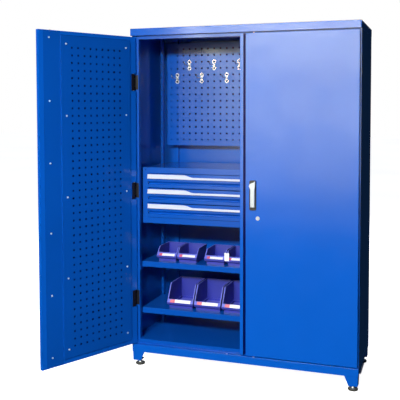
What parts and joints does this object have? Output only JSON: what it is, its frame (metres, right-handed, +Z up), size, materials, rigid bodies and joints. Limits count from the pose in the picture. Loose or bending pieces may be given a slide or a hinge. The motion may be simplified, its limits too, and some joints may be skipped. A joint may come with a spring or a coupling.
{
  "type": "tool cabinet with doors",
  "caption": "Blue steel tool cabinet on levelling feet with hinged doors, pegboard, drawers, shelves and open-front bins",
  "frame": {"origin": "the centre of the carcass footprint, at floor level under the feet", "axes": "+Z up; +X to the right seen from the front; -Y out of the front, where the doors are"},
  "size_m": [1.4975, 1.0362, 1.856],
  "materials": {
    "blue_paint": "semi-gloss blue powder coat",
    "steel_grey": "satin zinc-plated steel",
    "chrome": "polished",
    "black_steel": "satin black",
    "black_plastic": "fine grain",
    "rubber": "matte",
    "aluminium": "satin anodised",
    "bin_plastic": "smooth violet-blue",
    "card": "smooth card"
  },
  "bodies": {
    "carcass": {"base_frame": "blue_paint", "leg_brackets": "blue_paint", "foot_studs": "steel_grey", "foot_nuts": "steel_grey", "foot_cups": "steel_grey", "foot_rubbers": "rubber", "floor_panel": "blue_paint", "side_panel_left": "blue_paint", "side_panel_right": "blue_paint", "back_panel": "blue_paint", "roof_panel": "blue_paint", "top_cap": "blue_paint", "slotted_uprights": "blue_paint", "shelf_lower": "blue_paint", "shelf_upper": "blue_paint", "shelf_clips": "blue_paint", "pegboard": "blue_paint", "pegboard_brackets": "blue_paint", "pegboard_hooks": "chrome", "drawer_housing": "blue_paint", "carrier_rails": "blue_paint", "drawer_runners": "steel_grey", "small_bins": "bin_plastic", "large_bins": "bin_plastic", "bin_cards": "card", "hinge_frame_leaves": "black_steel", "hinge_pins": "steel_grey"},
    "left_door": {"door_skin_left": "blue_paint", "door_tray_left": "blue_paint", "lock_channel_left": "blue_paint", "door_screws_left": "chrome", "hinge_door_leaves_left": "black_steel", "handle_base_left": "black_plastic", "key_body_left": "chrome"},
    "left_lever": {"lever_left": "chrome", "lever_cam_left": "steel_grey"},
    "left_rod_top": {"lock_rod_top_left": "steel_grey"},
    "left_rod_bottom": {"lock_rod_bottom_left": "steel_grey"},
    "left_key": {"key_plug_left": "chrome"},
    "right_door": {"door_skin_right": "blue_paint", "door_tray_right": "blue_paint", "lock_channel_right": "blue_paint", "door_screws_right": "chrome", "hinge_door_leaves_right": "black_steel", "handle_base_right": "black_plastic", "key_body_right": "chrome"},
    "right_lever": {"lever_right": "chrome", "lever_cam_right": "steel_grey"},
    "right_rod_top": {"lock_rod_top_right": "steel_grey"},
    "right_rod_bottom": {"lock_rod_bottom_right": "steel_grey"},
    "right_key": {"key_plug_right": "chrome"},
    "drawer_1": {"drawer_1": "blue_paint", "drawer_handle_1": "aluminium"},
    "slide_1": {"drawer_slide_1": "steel_grey"},
    "drawer_2": {"drawer_2": "blue_paint", "drawer_handle_2": "aluminium"},
    "slide_2": {"drawer_slide_2": "steel_grey"},
    "drawer_3": {"drawer_3": "blue_paint", "drawer_handle_3": "aluminium"},
    "slide_3": {"drawer_slide_3": "steel_grey"}
  },
  "joints": [
    {"name": "left_door_hinge", "type": "hinge", "parent": "carcass", "child": "left_door", "pos_m": [-0.603, -0.241, 0.974], "axis": [0, 0, -1], "range_deg": [-116.5, 3.5]},
    {"name": "right_door_hinge", "type": "hinge", "parent": "carcass", "child": "right_door", "pos_m": [0.603, -0.241, 0.974], "axis": [0, 0, 1], "range_deg": [0, 120]},
    {"name": "left_lever_turn", "type": "hinge", "parent": "left_door", "child": "left_lever", "pos_m": [-0.84933, -0.71041, 1.025], "axis": [-0.8949, 0.4462, 0], "range_deg": [-90, 0]},
    {"name": "right_lever_turn", "type": "hinge", "parent": "right_door", "child": "right_lever", "pos_m": [0.073, -0.252, 1.025], "axis": [0, 1, 0], "range_deg": [-90, 0]},
    {"name": "left_rod_top_slide", "type": "slide", "parent": "left_door", "child": "left_rod_top", "axis": [0, 0, -1], "range_m": [-0.0181, 0]},
    {"name": "left_rod_bottom_slide", "type": "slide", "parent": "left_door", "child": "left_rod_bottom", "axis": [0, 0, 1], "range_m": [-0.0181, 0]},
    {"name": "right_rod_top_slide", "type": "slide", "parent": "right_door", "child": "right_rod_top", "axis": [0, 0, -1], "range_m": [-0.0181, 0]},
    {"name": "right_rod_bottom_slide", "type": "slide", "parent": "right_door", "child": "right_rod_bottom", "axis": [0, 0, 1], "range_m": [-0.0181, 0]},
    {"name": "left_key_turn", "type": "hinge", "parent": "left_door", "child": "left_key", "pos_m": [-0.83817, -0.68803, 0.855], "axis": [-0.8949, 0.4462, 0], "range_deg": [0, 90]},
    {"name": "right_key_turn", "type": "hinge", "parent": "right_door", "child": "right_key", "pos_m": [0.098, -0.252, 0.855], "axis": [0, 1, 0], "range_deg": [0, 90]},
    {"name": "drawer_1_slide", "type": "slide", "parent": "carcass", "child": "drawer_1", "axis": [0, -1, 0], "range_m": [0, 0.32]},
    {"name": "slide_1_travel", "type": "slide", "parent": "carcass", "child": "slide_1", "axis": [0, -1, 0], "range_m": [0, 0.1605]},
    {"name": "drawer_2_slide", "type": "slide", "parent": "carcass", "child": "drawer_2", "axis": [0, -1, 0], "range_m": [0, 0.32]},
    {"name": "slide_2_travel", "type": "slide", "parent": "carcass", "child": "slide_2", "axis": [0, -1, 0], "range_m": [0, 0.1605]},
    {"name": "drawer_3_slide", "type": "slide", "parent": "carcass", "child": "drawer_3", "axis": [0, -1, 0], "range_m": [0, 0.32]},
    {"name": "slide_3_travel", "type": "slide", "parent": "carcass", "child": "slide_3", "axis": [0, -1, 0], "range_m": [0, 0.1605]}
  ],
  "couplings": [
    {"joint": "left_rod_top_slide", "follows": "left_lever_turn", "m_per_rad": 0.011459},
    {"joint": "left_rod_bottom_slide", "follows": "left_lever_turn", "m_per_rad": 0.011459},
    {"joint": "right_rod_top_slide", "follows": "right_lever_turn", "m_per_rad": 0.011459},
    {"joint": "right_rod_bottom_slide", "follows": "right_lever_turn", "m_per_rad": 0.011459},
    {"joint": "slide_1_travel", "follows": "drawer_1_slide", "ratio": 0.5},
    {"joint": "slide_2_travel", "follows": "drawer_2_slide", "ratio": 0.5},
    {"joint": "slide_3_travel", "follows": "drawer_3_slide", "ratio": 0.5}
  ]
}
